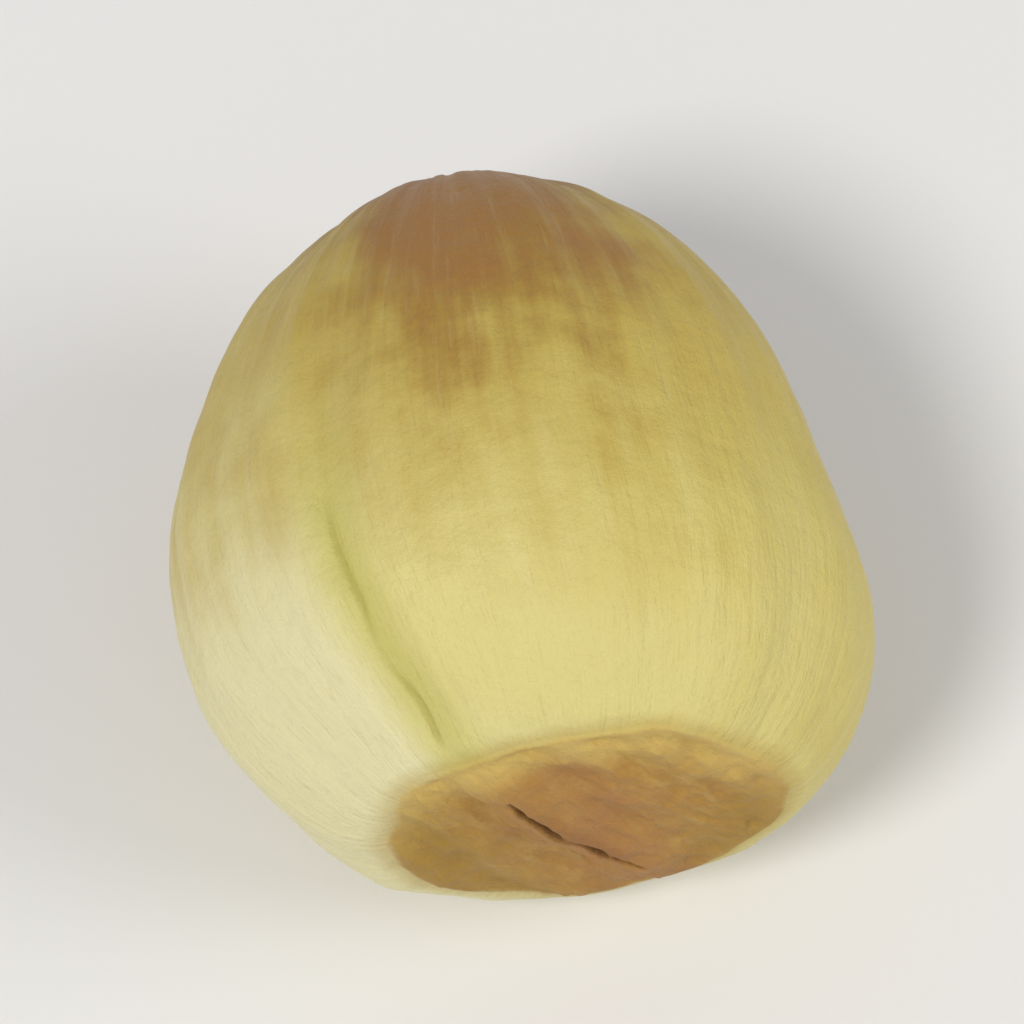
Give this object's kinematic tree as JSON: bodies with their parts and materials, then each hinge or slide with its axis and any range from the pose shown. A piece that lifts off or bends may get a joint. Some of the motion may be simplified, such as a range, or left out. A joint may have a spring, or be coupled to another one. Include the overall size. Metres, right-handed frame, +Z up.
{
  "type": "lotus seed",
  "caption": "Dried, peeled lotus seed: an egg-shaped cream kernel with a blunt brown tip, a mouth slit, side seams and a pore, lying on its side.",
  "frame": {"origin": "on the surface that the seed lies on, under the middle of its bounding box", "axes": "+Y from the brown tip towards the pore, within a few degrees of the seed's long axis; +Z up; +X across, to the right for someone facing the pore end from the brown tip"},
  "size_m": [0.0118, 0.0124, 0.0113],
  "materials": {
    "dried_kernel": "matt dried seed flesh, pale cream yellow, with a brown papery skin on the tip"
  },
  "bodies": {
    "root": {"seed": "dried_kernel"}
  },
  "joints": []
}
